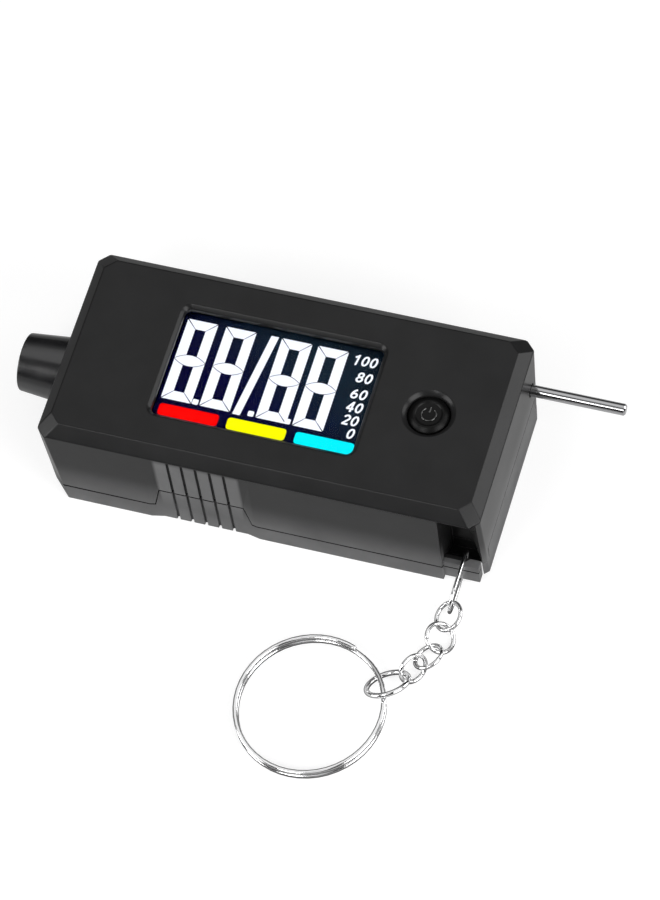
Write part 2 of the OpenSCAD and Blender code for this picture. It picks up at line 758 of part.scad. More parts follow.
module battery_door() {
    color(case_colour) difference() {
        union() {
            block([door_x0, cell_y - door_w / 2, 0], [door_x1, cell_y + door_w / 2, door_t]);
            for (y = [-6, 6])
                block([door_x0 - door_tab_l, cell_y + y - door_tab_w / 2, door_t + 0.1],
                    [door_x0 + door_tab_root, cell_y + y + door_tab_w / 2, door_t + door_tab_t]);
            for (y = [-6, 6])
                block([door_x0 + 0.4, cell_y + y - door_tab_w / 2, door_t - eps],
                    [door_x0 + door_tab_root, cell_y + y + door_tab_w / 2, door_t + door_tab_t]);
        }
        translate([door_screw_x, cell_y, -1]) {
            cylinder(r = door_screw_r + sit_gap, h = door_t + 2);
            cylinder(r = door_screw_head_r + sit_gap, h = 1 + sit_gap + door_screw_head_h);
        }
    }
}

// A round-headed screw that points up, with a cross cut in its head
module screw(shank_r, head_r, head_h, length) {
    slot_w = head_r / 3;
    difference() {
        union() {
            cylinder(r = head_r, h = head_h);
            cylinder(r = shank_r, h = length);
        }
        for (turn = [0, 90])
            rotate([0, 0, turn]) translate([-head_r * 0.6, -slot_w / 2, -1])
                cube([head_r * 1.2, slot_w, 1 + head_h / 2]);
    }
}

module battery_door_screw() {
    color(steel_colour) translate([door_screw_x, cell_y, sit_gap])
        screw(door_screw_r, door_screw_head_r, door_screw_head_h, door_screw_l);
}

module case_screws() {
    color(steel_colour) for (spot = case_screw_spots)
        translate([spot[0], spot[1], case_head_z]) screw(screw_r, screw_head_r, screw_head_h, case_screw_l);
}

module board_screws() {
    color(steel_colour) for (spot = post_spots)
        translate([spot[0], spot[1], board_z - screw_head_h])
            screw(screw_r, screw_head_r, screw_head_h, board_screw_l);
}

// The long ring: two straight runs of wire joined by two half bends
module lanyard_ring() {
    bend = 180;
    color(steel_colour) translate([ring_x, bar_mid_y, bar_mid_z])
        rotate([0, ring_lean, 0]) rotate([90, 0, -90]) {
            for (side = [-1, 1])
                translate([0, side * ring_bend_r, 0]) rotate([0, 90, 0])
                    cylinder(r = ring_wire_r, h = ring_straight);
            rotate([0, 0, 90]) rotate_extrude(angle = bend)
                translate([ring_bend_r, 0]) circle(r = ring_wire_r);
            translate([ring_straight, 0, 0]) rotate([0, 0, -90]) rotate_extrude(angle = bend)
                translate([ring_bend_r, 0]) circle(r = ring_wire_r);
        }
}

// Puts a ring drawn flat in X and Y where a link lies: heading, slope and roll in degrees
module link_place(at, heading, slope, roll) {
    translate(at) rotate([roll, slope, -90 - heading]) children();
}

module wire_ring(r, wire) {
    rotate_extrude() translate([r, 0]) circle(r = wire);
}

module chain_link(i) {
    color(steel_colour) link_place(link_at[i], link_heading[i], link_slope[i], link_roll[i])
        wire_ring(link_r, link_wire_r);
}

module end_link() {
    color(steel_colour) link_place(end_link_at, end_heading, 0, end_roll)
        wire_ring(end_link_r, end_link_wire_r);
}

// Height of the split ring's wire at a turn from 0 to 2: flat, a short climb past its own end, flat again
climb_start = 0.87;
climb_turns = 0.115;
function split_height(turn) = split_pitch * max(0, min(1, (turn - climb_start) / climb_turns));

// The wire's four edges at each step along its turns, from its lower end beside the end link
split_start = 165;
split_turn_steps = 48;
split_steps = 2 * split_turn_steps - 7;
split_edges = [[split_r - split_wire_w, -split_wire_t / 2], [split_r - split_wire_w, split_wire_t / 2],
    [split_r, split_wire_t / 2], [split_r, -split_wire_t / 2]];
function split_point(step, edge) =
    let (turn = step / split_turn_steps, angle = split_start - 360 * turn, e = split_edges[edge])
    [e[0] * cos(angle), e[0] * sin(angle), split_height(turn) - split_pitch / 2 + e[1]];

// Least gap of the wire to itself, over points at least half a turn apart
split_least_gap = min([for (i = [0 : split_steps - split_turn_steps / 2], a = [0 : 3])
    for (j = [i + split_turn_steps / 2 : split_steps], b = [0 : 3])
        norm(split_point(i, a) - split_point(j, b))]);
echo(split_ring_least_gap = split_least_gap);

module split_ring() {
    points = [for (i = [0 : split_steps], edge = [0 : 3]) split_point(i, edge)];
    sides = [for (i = [0 : split_steps - 1], k = [0 : 3], half = [0, 1])
        let (a = 4 * i + k, b = 4 * i + (k + 1) % 4)
        half == 0 ? [a, a + 4, b] : [b, a + 4, b + 4]];
    last = 4 * split_steps;
    caps = [[0, 1, 2], [0, 2, 3], [last + 2, last + 1, last], [last + 3, last + 2, last]];
    color(steel_colour) translate(split_at) rotate([0, split_tilt, -90 - split_heading])
        polyhedron(points = points, faces = concat(sides, caps));
}

top_cover();
bottom_cover();
display_lens();
lcd_panel();
backlight();
zebra_strips();
circuit_board();
tact_switch();
switch_plunger();
button_cap();
nozzle();
valve_seal();
valve_pin();
sensor_o_ring();
pressure_sensor();
sensor_board();
probe_rod();
probe_carriage();
probe_wiper();
probe_guide();
probe_o_ring();
depth_track();
battery();
battery_contact_positive();
battery_contact_negative();
battery_pad();
battery_door();
battery_door_screw();
case_screws();
board_screws();
lanyard_ring();
chain_link(0);  // chain_link_1
chain_link(1);  // chain_link_2
chain_link(2);  // chain_link_3
chain_link(3);  // chain_link_4
end_link();
split_ring();
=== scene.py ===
"""Looks of the pocket tire gauge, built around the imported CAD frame.

Everything is in metres in the CAD's own frame: +X from the chuck to the probe, the display up, the
front face with the key ring towards -Y. CAD solids with sharp edges get a finished copy with small
radii, and the display, the button mark and the chain links are built here.
"""

import json
import math

import bmesh
import bpy
import numpy as np
from mathutils import Matrix, Vector

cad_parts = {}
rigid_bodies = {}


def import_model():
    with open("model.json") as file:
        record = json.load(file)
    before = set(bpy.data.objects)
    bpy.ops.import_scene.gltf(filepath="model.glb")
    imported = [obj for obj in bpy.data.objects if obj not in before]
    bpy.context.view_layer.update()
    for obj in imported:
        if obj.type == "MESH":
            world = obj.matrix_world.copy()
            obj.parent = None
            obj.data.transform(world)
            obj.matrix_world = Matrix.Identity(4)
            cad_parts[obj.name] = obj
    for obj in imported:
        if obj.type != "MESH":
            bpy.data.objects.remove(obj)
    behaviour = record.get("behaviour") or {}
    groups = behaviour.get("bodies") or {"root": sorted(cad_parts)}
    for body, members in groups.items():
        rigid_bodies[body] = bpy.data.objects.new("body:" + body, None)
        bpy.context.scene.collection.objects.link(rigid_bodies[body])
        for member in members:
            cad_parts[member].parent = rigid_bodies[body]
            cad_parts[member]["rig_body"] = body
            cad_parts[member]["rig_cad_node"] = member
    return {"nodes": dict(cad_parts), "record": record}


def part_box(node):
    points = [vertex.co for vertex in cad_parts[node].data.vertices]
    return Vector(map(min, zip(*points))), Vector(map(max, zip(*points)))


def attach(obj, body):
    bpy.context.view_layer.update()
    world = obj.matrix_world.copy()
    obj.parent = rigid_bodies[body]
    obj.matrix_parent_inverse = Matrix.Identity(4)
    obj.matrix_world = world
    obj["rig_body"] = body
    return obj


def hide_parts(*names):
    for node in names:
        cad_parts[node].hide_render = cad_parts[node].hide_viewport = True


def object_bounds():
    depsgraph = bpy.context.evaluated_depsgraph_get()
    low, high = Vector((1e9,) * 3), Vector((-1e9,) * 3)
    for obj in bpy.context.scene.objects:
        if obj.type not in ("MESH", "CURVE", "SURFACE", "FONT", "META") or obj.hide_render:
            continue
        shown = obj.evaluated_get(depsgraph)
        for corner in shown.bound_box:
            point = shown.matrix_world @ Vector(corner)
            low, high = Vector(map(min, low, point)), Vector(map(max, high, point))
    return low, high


MM = 0.001

# The ribbed grips in the side faces: middle and reach along the case, depth into it, top
GRIP_X = -10.3 * MM
GRIP_REACH = 9.6 * MM
GRIP_DEPTH = 1.2 * MM
GRIP_TOP = 19.5 * MM

# Half the length of the field of ribs, a depth between the ribs' faces and the floor of their grooves,
# and how much painted light makes the ribs paler and how that ends
GRIP_FIELD = 7.2 * MM
RIB_DEPTH = 0.6 * MM
RIB_PAINTED_LIGHT = 0.7
RIB_BLUR = 0.3 * MM
RIB_FADE = 2 * MM

# Joint line of the two covers, painted near black as the shade in the gap between them, with half its
# width as drawn. It climbs a tab at each grip.
JOINT_HEIGHT = 4.06 * MM
JOINT_REACH = 0.16 * MM
PAINTED_JOINT_SHADE = (0.001, 0.001, 0.001, 1)
TAB_TOP = 8.76 * MM
TAB_SLOPE = 1.1 * MM

# The case's plastic: how far up and how deep its painted light goes, paler low on the outer sides, the cut
# of its corners, its gloss
PAINTED_LIGHT_HEIGHT = 12 * MM
SKIN_DEPTH = 1.2 * MM
CORNER_CUT = 3.2 * MM
PLASTIC_GLOSS = 0.2

# Edges that turn more than the first are rounded, and what still turns more than the second stays crisp
ROUNDED_TURN = math.radians(25)
CRISP_TURN = math.radians(35)
FINE_RADIUS = 0.1 * MM

# What counts as one point and as one flat face when a CAD mesh is cleaned
SAME_POINT = 1e-7
SAME_FACE = math.radians(0.5)

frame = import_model()
cad_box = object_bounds()
nodes = frame["nodes"]
scene = bpy.context.scene
scene.view_settings.view_transform = "Standard"

CASE_HALF_LENGTH, CASE_HALF_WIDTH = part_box("top_cover")[1].xy


# Camera, fitted to the corners of the case in the photograph

CAMERA_AT = Vector((174.99, -363.32, 690.95)) * MM
CAMERA_TARGET = Vector((7.992, -4.339, 10.0)) * MM
CAMERA_ROLL = math.radians(-9.859)
FOCAL_PIXELS = 4809.7
PHOTO_HEIGHT = 900
SENSOR = 36.0


def make_camera():
    data = bpy.data.cameras.new("camera")
    data.sensor_width = SENSOR
    data.lens = SENSOR * FOCAL_PIXELS / PHOTO_HEIGHT
    data.clip_start = 0.05
    data.clip_end = 20
    camera = bpy.data.objects.new("camera", data)
    scene.collection.objects.link(camera)
    back = (CAMERA_AT - CAMERA_TARGET).normalized()
    level = Vector((0, 0, 1)).cross(back).normalized()
    right = Matrix.Rotation(CAMERA_ROLL, 3, back) @ level
    up = back.cross(right)
    turn = Matrix((right, up, back)).transposed()
    camera.matrix_world = Matrix.Translation(CAMERA_AT) @ turn.to_4x4()
    scene.camera = camera


# Materials


class Nodes:
    """A node tree with short ways to add nodes and to link one node's output to another's input."""

    def __init__(self, tree):
        self.tree = tree

    def add(self, kind, **values):
        node = self.tree.nodes.new(kind)
        for key, value in values.items():
            if hasattr(node, key):
                setattr(node, key, value)
            else:
                node.inputs[key].default_value = value
        return node

    def link(self, output, node, entry):
        self.tree.links.new(output, node.inputs[entry])

    def put(self, value, entry):
        """Gives an input a number, a colour or another node's output."""
        if isinstance(value, bpy.types.NodeSocket):
            self.tree.links.new(value, entry)
        else:
            entry.default_value = value

    def split(self, vector):
        node = self.add("ShaderNodeSeparateXYZ")
        self.link(vector, node, "Vector")
        return [node.outputs[axis] for axis in "XYZ"]

    def maths(self, operation, *values):
        """An operation on one to three values, each a number or another node's output."""
        node = self.add("ShaderNodeMath", operation=operation)
        for value, entry in zip(values, node.inputs):
            self.put(value, entry)
        return node.outputs["Value"]

    def remap(self, value, start, end, low=0.0, high=1.0, smooth=False):
        """Turns start..end into low..high."""
        kind = "SMOOTHSTEP" if smooth else "LINEAR"
        node = self.add("ShaderNodeMapRange", interpolation_type=kind)
        levels = {"From Min": start, "From Max": end, "To Min": low, "To Max": high}
        for key, level in levels.items():
            node.inputs[key].default_value = level
        self.link(value, node, "Value")
        return node.outputs["Result"]

    def blend(self, share, one, two):
        """From colour one at share 0 to colour two at share 1, each a colour or a node's output."""
        node = self.add("ShaderNodeMix", data_type="RGBA")
        self.link(share, node, "Factor")
        for key, colour in (("A", one), ("B", two)):
            self.put(colour, node.inputs[key])
        return node.outputs["Result"]


class Material(Nodes):
    """A material's node tree, with what drives its main shader."""

    def __init__(self, name):
        self.material = bpy.data.materials.new(name)
        self.material.use_nodes = True
        super().__init__(self.material.node_tree)
        self.shader = self.tree.nodes["Principled BSDF"]

    def set(self, **values):
        for key, value in values.items():
            self.shader.inputs[key.replace("_", " ")].default_value = value

    def vary(self, entry, output):
        self.link(output, self.shader, entry)

    def coordinates(self, stretch=(1, 1, 1)):
        """Object coordinates. A pattern runs long on the axis where stretch is small."""
        place = self.add("ShaderNodeTexCoord")
        mapping = self.add("ShaderNodeMapping", Scale=stretch)
        self.link(place.outputs["Object"], mapping, "Vector")
        return mapping.outputs["Vector"]

    def noise(self, place, size, detail=3.0):
        """Noise whose blobs are about size metres across."""
        noise = self.add("ShaderNodeTexNoise", Scale=1 / size, Detail=detail)
        self.link(place, noise, "Vector")
        return noise.outputs["Fac"]

    def spread(self, noise, low, high):
        """Maps a noise's middle range to low..high."""
        return self.remap(noise, 0.3, 0.7, low, high)

    def tint(self, noise, colour, change):
        """Varies the base colour by a share of change each way."""
        share = self.spread(noise, 0.0, 1.0)
        self.vary("Base Color", self.blend(share, shade(colour, 1 - change), shade(colour, 1 + change)))

    def bump(self, pattern, height, strength=1.0):
        bump = self.add("ShaderNodeBump", Distance=height, Strength=strength)
        self.link(pattern, bump, "Height")
        self.vary("Normal", bump.outputs["Normal"])


def shade(colour, share):
    return tuple(min(1.0, c * share) for c in colour[:3]) + (1.0,)


def moulded(name, colour, roughness, relief=0.004 * MM, specular=0.5):
    """Moulded plastic: a fine eroded grain, and a sheen that varies slowly over the surface."""
    look = Material(name)
    place = look.coordinates()
    look.tint(look.noise(place, 6 * MM), colour, change=0.15)
    look.vary("Roughness", look.spread(look.noise(place, 3 * MM), roughness - 0.03, roughness + 0.03))
    look.bump(look.noise(place, 0.25 * MM, detail=2.0), relief)
    look.set(Specular_IOR_Level=specular)
    return look.material


def case_plastic(name, colour, painted_light_colour, roughness):
    """The case's black plastic, with painted light making it paler low down its outer sides and on the
    ribs, and painted shade making it dark along the joint.
    """
    look = Material(name)
    place = look.coordinates()
    x, y, z = look.split(place)
    along = look.maths("ABSOLUTE", x)
    off_middle = look.maths("ABSOLUTE", y)
    past_end = look.maths("GREATER_THAN", along, CASE_HALF_LENGTH - SKIN_DEPTH)
    past_side = look.maths("GREATER_THAN", off_middle, CASE_HALF_WIDTH - SKIN_DEPTH)
    corner_skin = CASE_HALF_LENGTH + CASE_HALF_WIDTH - CORNER_CUT - SKIN_DEPTH
    past_corner = look.maths("GREATER_THAN", look.maths("ADD", along, off_middle), corner_skin)
    outside = look.maths("MAXIMUM", past_corner, look.maths("MAXIMUM", past_end, past_side))
    # Painted light: low on the outer sides and ends the case turns paler, standing in for light bounced
    # and reflected off the floor
    foot = look.maths("MULTIPLY", look.remap(z, PAINTED_LIGHT_HEIGHT, 0.0, smooth=True), outside)

    from_grip = look.maths("ABSOLUTE", look.maths("SUBTRACT", x, GRIP_X))
    # Painted light: the faces of the ribs are made paler, as if each rib caught more light
    in_field = look.remap(from_grip, GRIP_FIELD + RIB_BLUR, GRIP_FIELD - RIB_BLUR, 0.0, RIB_PAINTED_LIGHT)
    rib_face = look.maths("GREATER_THAN", off_middle, CASE_HALF_WIDTH - RIB_DEPTH)
    below_top = look.remap(z, GRIP_TOP, GRIP_TOP - RIB_FADE)
    ribs = look.maths("MULTIPLY", look.maths("MULTIPLY", in_field, rib_face), below_top)
    pale = look.maths("MAXIMUM", foot, ribs)

    # Painted shade: a near-black line along the joint stands in for the shade in the gap between the
    # covers
    joint = look.remap(from_grip, GRIP_FIELD, GRIP_FIELD + TAB_SLOPE, TAB_TOP, JOINT_HEIGHT)
    off_joint = look.maths("ABSOLUTE", look.maths("SUBTRACT", z, joint))
    line = look.maths("MULTIPLY", look.maths("LESS_THAN", off_joint, JOINT_REACH), past_side)

    cloud = look.add("ShaderNodeHueSaturation")
    look.link(look.spread(look.noise(place, 6 * MM), 0.88, 1.12), cloud, "Value")
    # Painted light: the case's own colour blends into the paler colour by the share painted on its foot
    # and its ribs
    look.link(look.blend(pale, colour, painted_light_colour), cloud, "Color")
    look.vary("Base Color", look.blend(line, cloud.outputs["Color"], PAINTED_JOINT_SHADE))
    sheen = look.spread(look.noise(place, 10 * MM, detail=1.0), roughness - 0.015, roughness + 0.015)
    look.vary("Roughness", look.maths("MAXIMUM", sheen, line))
    look.bump(look.noise(place, 0.3 * MM, detail=0.0), height=0.0006 * MM)
    look.set(Specular_IOR_Level=PLASTIC_GLOSS)
    return look.material


def metal(name, colour, roughness, stretch=(1, 1, 1), relief=0.001 * MM):
    """Bare or plated metal, with fine lines along the axis where stretch is small."""
    look = Material(name)
    place = look.coordinates(stretch)
    grain = look.noise(place, 0.3 * MM)
    look.tint(look.noise(place, 4 * MM), colour, change=0.04)
    look.vary("Roughness", look.spread(grain, roughness * 0.75, roughness * 1.25))
    look.bump(grain, relief)
    look.set(Metallic=1.0)
    return look.material


def clear_lens(name):
    look = Material(name)
    look.vary("Roughness", look.spread(look.noise(look.coordinates(), 5 * MM), 0.02, 0.05))
    look.set(Base_Color=(0.9, 0.92, 0.96, 1), Transmission_Weight=1.0, IOR=1.11)
    return look.material


def display_ground(name, dark, pale):
    """Unlit display glass, dark blue, with a painted reflection making it paler towards the probe end and
    the back.
    """
    look = Material(name)
    x, y, _ = look.split(look.coordinates())
    low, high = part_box("lcd_panel")
    across = look.maths("MULTIPLY_ADD", y, 1.5, x)
    painted_reflection_share = look.remap(across, low.x + 0.2 * (high.x - low.x), high.x, smooth=True)
    look.vary("Base Color", look.blend(painted_reflection_share, dark, pale))
    look.set(Roughness=0.3, Specular_IOR_Level=0.0)
    return look.material


def lit(name, colour, strength):
    """A lit display segment, a little uneven like any backlight."""
    look = Material(name)
    glow = look.spread(look.noise(look.coordinates(), 8 * MM), strength * 0.97, strength * 1.03)
    look.vary("Emission Strength", glow)
    look.set(Base_Color=shade(colour, 0.1), Emission_Color=shade(colour, 1.0), Specular_IOR_Level=0.0)
    return look.material


def circuit(name, colour):
    """Solder mask with the faint relief of the tracks under it."""
    look = Material(name)
    place = look.coordinates()
    tracks = look.add("ShaderNodeTexBrick", Scale=1 / (4 * MM))
    look.link(place, tracks, "Vector")
    look.bump(tracks.outputs["Fac"], height=0.02 * MM, strength=0.4)
    look.tint(look.noise(place, 2 * MM), colour, change=0.2)
    look.set(Roughness=0.35)
    return look.material


CASE_BLACK = (0.0135, 0.0135, 0.0138, 1)
# Painted light: the paler colour of the case's lower outer sides and of the ribs
CASE_PAINTED_LIGHT = (0.19, 0.19, 0.192, 1)
BUTTON_BLACK = (0.004, 0.004, 0.004)
MARK_BLACK = (0.0055, 0.0055, 0.0055)
CHUCK_BLACK = (0.0095, 0.0095, 0.0105)
DISPLAY_NAVY = (0.0005, 0.0005, 0.034, 1)
# Painted reflection: the slate that the display glass turns towards the probe end and the back
DISPLAY_PAINTED_REFLECTION = (0.008, 0.02, 0.034, 1)
LIT_WHITE = (0.95, 0.97, 1.0)

MATERIALS = {
    "black_plastic": case_plastic("black_plastic", CASE_BLACK, CASE_PAINTED_LIGHT, roughness=0.29),
    "button_plastic": moulded(
        "button_plastic", BUTTON_BLACK, roughness=0.36, relief=0.001 * MM, specular=0.15),
    "chuck_plastic": moulded(
        "chuck_plastic", CHUCK_BLACK, roughness=0.24, relief=0.002 * MM, specular=0.9),
    "clear_lens": clear_lens("clear_lens"),
    "display_glass": display_ground("display_glass", DISPLAY_NAVY, DISPLAY_PAINTED_REFLECTION),
    "white_plastic": moulded("white_plastic", (0.8, 0.8, 0.78), roughness=0.45),
    "circuit_laminate": circuit("circuit_laminate", (0.03, 0.14, 0.06)),
    "dark_plastic": moulded("dark_plastic", (0.025, 0.025, 0.025), roughness=0.5),
    "rubber": moulded("rubber", (0.02, 0.02, 0.02), roughness=0.7, relief=0.006 * MM, specular=0.3),
    "brass": metal("brass", (0.72, 0.52, 0.24), roughness=0.3),
    "steel": metal("steel", (0.52, 0.52, 0.53), roughness=0.1, stretch=(0.05, 1, 1)),
    "chrome": metal("chrome", (0.92, 0.92, 0.925), roughness=0.13, relief=0.0004 * MM),
}


def wear(obj, slot, material=None):
    """Gives a piece its slot and the material that goes with it."""
    obj.data.materials.clear()
    obj.data.materials.append(material or MATERIALS[slot])


# Mesh helpers


def new_piece(name, mesh, body, slot, *replaced):
    obj = bpy.data.objects.new(name, mesh)
    scene.collection.objects.link(obj)
    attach(obj, body)
    if replaced:
        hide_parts(*replaced)
    wear(obj, slot)
    return obj


def mesh_of(bm, name, smooth=True):
    bmesh.ops.recalc_face_normals(bm, faces=bm.faces)
    mesh = bpy.data.meshes.new(name)
    bm.to_mesh(mesh)
    bm.free()
    for face in mesh.polygons:
        face.use_smooth = smooth
    return mesh


def even_normals(obj):
    """Keeps broad faces flat and lets only the narrow radii between them turn."""
    even = obj.modifiers.new("even_normals", "WEIGHTED_NORMAL")
    even.weight = 100
    even.keep_sharp = True


def in_grip(point):
    """True on the ribbed grips in the two side faces, whose ribs take only a fine radius."""
    beside = abs(point.x - GRIP_X) < GRIP_REACH
    return beside and abs(point.y) > CASE_HALF_WIDTH - GRIP_DEPTH and point.z < GRIP_TOP


def finished(node, slot, radius, reshape=None, broad_faces=True):
    """A copy of a CAD solid with its edges rounded, which stands for it."""
    bm = bmesh.new()
    bm.from_mesh(nodes[node].data)
    if reshape:
        for v in bm.verts:
            v.co = reshape(v.co)
    bmesh.ops.remove_doubles(bm, verts=bm.verts, dist=SAME_POINT)
    bmesh.ops.dissolve_limit(bm, angle_limit=SAME_FACE, verts=bm.verts, edges=bm.edges)
    sharp = [e for e in bm.edges if e.calc_face_angle(0.0) > ROUNDED_TURN]
    fine = [e for e in sharp if any(in_grip(v.co) for v in e.verts)]
    coarse = [e for e in sharp if not any(in_grip(v.co) for v in e.verts)]
    for edges, offset in ((coarse, radius), (fine, FINE_RADIUS)):
        edges = [e for e in edges if e.is_valid]
        bmesh.ops.bevel(bm, geom=edges, offset=offset, segments=3, profile=0.5, affect="EDGES")
    for edge in bm.edges:
        edge.smooth = edge.calc_face_angle(math.pi) < CRISP_TURN
    low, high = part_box(node)
    for v in bm.verts:
        v.co = [min(max(place, least), most) for place, least, most in zip(v.co, low, high)]
    mesh = mesh_of(bm, node + "_finish")
    if "custom_normal" in mesh.attributes:
        mesh.attributes.remove(mesh.attributes["custom_normal"])
    obj = new_piece(node + "_finish", mesh, nodes[node]["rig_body"], slot, node)
    if broad_faces:
        even_normals(obj)


def arc(centre, radius, start, end, steps):
    turns = [math.radians(start + (end - start) * i / steps) for i in range(steps + 1)]
    return [(centre[0] + radius * math.cos(a), centre[1] + radius * math.sin(a)) for a in turns]


def rounded_bar(x0, y0, x1, y1, radius):
    middle_x = (x0 + x1) / 2
    middle_y = (y0 + y1) / 2
    outline = []
    for x, y, start in ((x1, y1, 0), (x0, y1, 90), (x0, y0, 180), (x1, y0, 270)):
        centre = (x - math.copysign(radius, x - middle_x), y - math.copysign(radius, y - middle_y))
        outline += arc(centre, radius, start, start + 90, steps=6)
    return outline


def tube(name, points, wire, body, slot, *replaced):
    """A round wire along points, cut square at both ends."""
    sides = 24
    turns = [2 * math.pi * k / sides for k in range(sides)]
    bm = bmesh.new()
    rings = []
    for i, point in enumerate(points):
        ahead = points[min(i + 1, len(points) - 1)] - points[max(i - 1, 0)]
        across = ahead.orthogonal() if not rings else ahead.cross(across.cross(ahead))
        across = (across - across.project(ahead)).normalized()
        other = ahead.normalized().cross(across)
        round_point = [point + wire * (across * math.cos(a) + other * math.sin(a)) for a in turns]
        rings.append([bm.verts.new(place) for place in round_point])
    for one, two in zip(rings, rings[1:]):
        for k in range(sides):
            following = (k + 1) % sides
            bm.faces.new((one[k], one[following], two[following], two[k]))
    bm.faces.new(rings[0])
    bm.faces.new(rings[-1])
    obj = new_piece(name, mesh_of(bm, name), body, slot, *replaced)
    even_normals(obj)
    return obj


# Display: places and sizes in mm, X and Y from the middle of the case

# The glass stays this much below the top of the CAD panel, and the lit plates lie on it
GLASS_DROP = 0.05
GLASS_LEDGE = 0.3
GLASS_RADIUS = 0.1
PLATE_THICK = 0.02

DIGIT_LEFTS = (-19.65, -13.05, -3.45, 2.8)
DIGIT_FOOT = -6.0
DIGIT_HIGH = 15.45
DIGIT_WIDE = 5.2
DIGIT_STROKE = 1.7
DIGIT_GAP = 0.13
LEAF_BULGE = 0.6 * DIGIT_STROKE

SLASH_LEFT = -7.35
SLASH_THICK = 1.3
SLASH_LEAN = 2.05
SLASH_DROP = 0.2

POINT_MIDDLES = (-13.85, -4.35, 1.9)
POINT_SIZE = 1.0
POINT_RADIUS = 0.2

# Plain numbers in the place of words, each with the height of its middle
SCALE = (("100", 8.34), ("80", 5.25), ("60", 2.14), ("40", -0.4), ("20", -2.9), ("0", -5.3))
SCALE_RIGHT = 13.2
SCALE_HIGH = 2.0

# The coloured bars below the digits, each with its left and right end
BARS = (
    ("display_bar_red", -19.4, -9.2, (1.0, 0.0, 0.0)),
    ("display_bar_yellow", -7.7, 2.3, (1.0, 1.0, 0.0)),
    ("display_bar_blue", 3.85, 13.8, (0.0, 0.9, 1.0)),
)
BAR_FOOT = -9.15
BAR_TOP = -6.95
BAR_RADIUS = 0.55


def in_metres(outline):
    return [(x * MM, y * MM) for x, y in outline]


def lit_plates(name, outlines, material):
    """Thin lit plates on the display glass, all in one mesh, from outlines in mm."""
    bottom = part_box("lcd_panel")[1].z - GLASS_DROP * MM
    bm = bmesh.new()
    for outline in outlines:
        face = bm.faces.new([bm.verts.new((x, y, bottom)) for x, y in in_metres(outline)])
        grown = bmesh.ops.extrude_face_region(bm, geom=[face])
        raised = [v for v in grown["geom"] if isinstance(v, bmesh.types.BMVert)]
        bmesh.ops.translate(bm, verts=raised, vec=(0, 0, PLATE_THICK * MM))
    obj = new_piece(name, mesh_of(bm, name, smooth=False), "housing", "display_glass")
    wear(obj, "display_glass", material)


def digit_outlines(left):
    """The seven segments of a figure 8. The middle one is a leaf."""
    wide, high, stroke, gap = DIGIT_WIDE, DIGIT_HIGH, DIGIT_STROKE, DIGIT_GAP
    half = high / 2

    def leaf(x):
        return LEAF_BULGE * (1 - (2 * x / wide - 1) ** 2)

    def flipped(outline, mirror_x, mirror_y):
        return [(wide - x if mirror_x else x, high - y if mirror_y else y) for x, y in outline]

    across = [wide * i / 12 for i in range(13)]
    middle = [(x, half + leaf(x)) for x in across]
    middle += [(x, half - leaf(x)) for x in reversed(across[1:-1])]
    flat = [(gap, 0), (wide - gap, 0), (wide - stroke - gap / 2, stroke), (stroke + gap / 2, stroke)]
    shoulder = [stroke * (1 - i / 5) for i in range(6)]
    upright = [(0, gap), (stroke, stroke + gap / 2)]
    upright += [(x, half - leaf(x) - gap) for x in shoulder]

    shapes = [middle, flat, flipped(flat, False, True)]
    shapes += [flipped(upright, mx, my) for mx in (False, True) for my in (False, True)]
    return [[(left + x, DIGIT_FOOT + y) for x, y in outline] for outline in shapes]


def slash_outline():
    """The slanted bar between the two pairs of digits."""
    right = SLASH_LEFT + SLASH_THICK
    foot = DIGIT_FOOT - SLASH_DROP
    head = DIGIT_FOOT + DIGIT_HIGH
    return [(SLASH_LEFT, foot), (right, foot), (right + SLASH_LEAN, head), (SLASH_LEFT + SLASH_LEAN, head)]


def bend(x, y, wide, high, start, end):
    """Points along part of an ellipse, by its centre and its half sizes."""
    turns = [math.radians(start + (end - start) * i / 12) for i in range(13)]
    return [(x + wide * math.cos(a), y + high * math.sin(a)) for a in turns]


def loop(x, y, wide, high):
    return [bend(x, y, wide, high, 90, 270), bend(x, y, wide, high, 270, 450)]


# Strokes of the plain figures, in a box one unit high
FIGURES = {
    "0": loop(0.33, 0.5, 0.22, 0.41),
    "1": [[(0.38, 0), (0.38, 1)], [(0.12, 0.7), (0.38, 0.92)]],
    "2": [bend(0.33, 0.69, 0.22, 0.22, 170, -35) + [(0.12, 0.09)], [(0.09, 0.09), (0.6, 0.09)]],
    "4": [[(0.45, 0), (0.45, 1)], [(0.42, 0.94), (0.09, 0.31)], [(0.04, 0.31), (0.64, 0.31)]],
    "6": loop(0.33, 0.3, 0.22, 0.21) + [bend(0.66, 0.36, 0.55, 0.55, 180, 115)],
    "8": loop(0.33, 0.71, 0.19, 0.2) + loop(0.33, 0.3, 0.22, 0.21),
}
FIGURE_STROKE = 0.17
FIGURE_STEP = 0.72
FIGURE_SLANT = 0.16


def stroke_outline(points):
    """The outline of a stroke drawn along points with a broad pen."""
    left, right = [], []
    for i, (x, y) in enumerate(points):
        one, two = points[max(i - 1, 0)], points[min(i + 1, len(points) - 1)]
        reach = FIGURE_STROKE / 2 / math.hypot(two[0] - one[0], two[1] - one[1])
        side_x = (one[1] - two[1]) * reach
        side_y = (two[0] - one[0]) * reach
        left.append((x + side_x, y + side_y))
        right.append((x - side_x, y - side_y))
    return left + right[::-1]


def number_outlines(text, row):
    """A slanted number of the scale, whose last figure ends at the scale's right."""
    foot = row - SCALE_HIGH / 2
    outlines = []
    for place, figure in enumerate(reversed(text)):
        left = SCALE_RIGHT - (place + 1) * FIGURE_STEP * SCALE_HIGH
        for points in FIGURES[figure]:
            outline = stroke_outline(points)
            outlines.append([
                (left + SCALE_HIGH * (x + FIGURE_SLANT * y), foot + SCALE_HIGH * y) for x, y in outline])
    return outlines


